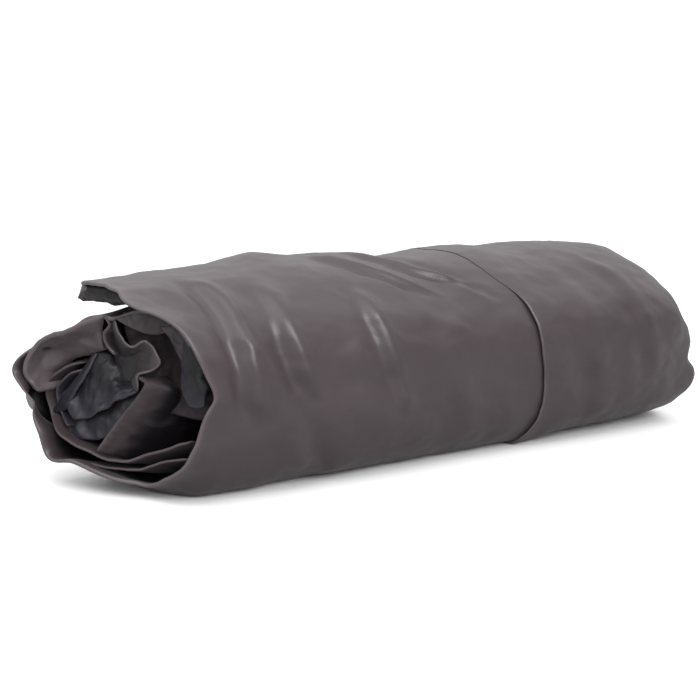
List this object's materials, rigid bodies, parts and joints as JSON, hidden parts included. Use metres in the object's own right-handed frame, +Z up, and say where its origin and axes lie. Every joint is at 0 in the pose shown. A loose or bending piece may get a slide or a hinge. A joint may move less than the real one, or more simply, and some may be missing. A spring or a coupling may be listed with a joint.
{
  "type": "infrared sauna blanket",
  "caption": "Rolled-up infrared sauna blanket: a heated wrap-over bag wound into a bolster for storage, with a free foot end that lifts off the roll.",
  "frame": {"origin": "centre of the bounding box in plan, on the floor that the roll lies on", "axes": "+X along the roll, from its open crumpled end to its folded end; -Y is the front, which faces the viewer; +Z up"},
  "size_m": [0.9278, 0.2542, 0.2666],
  "materials": {
    "outer_fabric": "semi-gloss coated polyurethane fabric, taupe grey",
    "inner_fabric": "satin waterproof inner fabric, bluish black",
    "wadding": "soft white polyester wadding",
    "heating_mat": "carbon-fibre heating mat between felts",
    "tape": "black hook and loop tape",
    "edge_tape": "folded woven edge tape",
    "wiring": "flat silicone-covered ribbon cable",
    "black_plastic": "moulded black plastic",
    "contact_metal": "plated contact metal"
  },
  "bodies": {
    "roll": {"back_harness": "wiring", "back_head_binding": "edge_tape", "back_heater_chest": "heating_mat", "back_heater_legs": "heating_mat", "back_heater_waist": "heating_mat", "back_liner": "inner_fabric", "back_outer_shell": "outer_fabric", "back_wadding": "wadding", "chest_temperature_sensor": "contact_metal", "chest_thermal_cutout": "black_plastic", "controller_socket": "black_plastic", "cross_lead": "wiring", "front_harness": "wiring", "front_heater_chest": "heating_mat", "front_heater_legs": "heating_mat", "front_heater_waist": "heating_mat", "hook_strip": "tape", "left_front_head_binding": "edge_tape", "left_front_liner": "inner_fabric", "left_front_outer_shell": "outer_fabric", "left_front_wadding": "wadding", "left_side_wall": "outer_fabric", "legs_temperature_sensor": "contact_metal", "legs_thermal_cutout": "black_plastic", "loop_strip": "tape", "overlap_edge_binding": "edge_tape", "right_front_head_binding": "edge_tape", "right_front_liner": "inner_fabric", "right_front_outer_shell": "outer_fabric", "right_front_wadding": "wadding", "right_side_wall": "outer_fabric", "side_link": "wiring", "socket_bezel": "black_plastic", "socket_contact_1": "contact_metal", "socket_contact_2": "contact_metal", "socket_contact_3": "contact_metal", "socket_contact_4": "contact_metal", "socket_lead": "wiring", "underlap_tongue": "outer_fabric", "waist_temperature_sensor": "contact_metal", "waist_thermal_cutout": "black_plastic"},
    "foot_section": {"foot_back_liner": "inner_fabric", "foot_back_outer_shell": "outer_fabric", "foot_back_wadding": "wadding", "foot_left_front_liner": "inner_fabric", "foot_left_front_outer_shell": "outer_fabric", "foot_left_front_wadding": "wadding", "foot_left_side_wall": "outer_fabric", "foot_overlap_edge_binding": "edge_tape", "foot_right_front_liner": "inner_fabric", "foot_right_front_outer_shell": "outer_fabric", "foot_right_front_wadding": "wadding", "foot_right_side_wall": "outer_fabric"},
    "foot_hem": {"foot_hem_binding": "outer_fabric", "foot_hem_webbing": "edge_tape"}
  },
  "joints": [
    {"name": "foot_section_lift", "type": "hinge", "parent": "roll", "child": "foot_section", "pos_m": [0, -0.08347, 0.22975], "axis": [1, 0, 0], "range_deg": [0, 120]},
    {"name": "foot_hem_lift", "type": "hinge", "parent": "foot_section", "child": "foot_hem", "pos_m": [0, 0.05478, 0.25963], "axis": [1, 0, 0], "range_deg": [0, 75]}
  ]
}
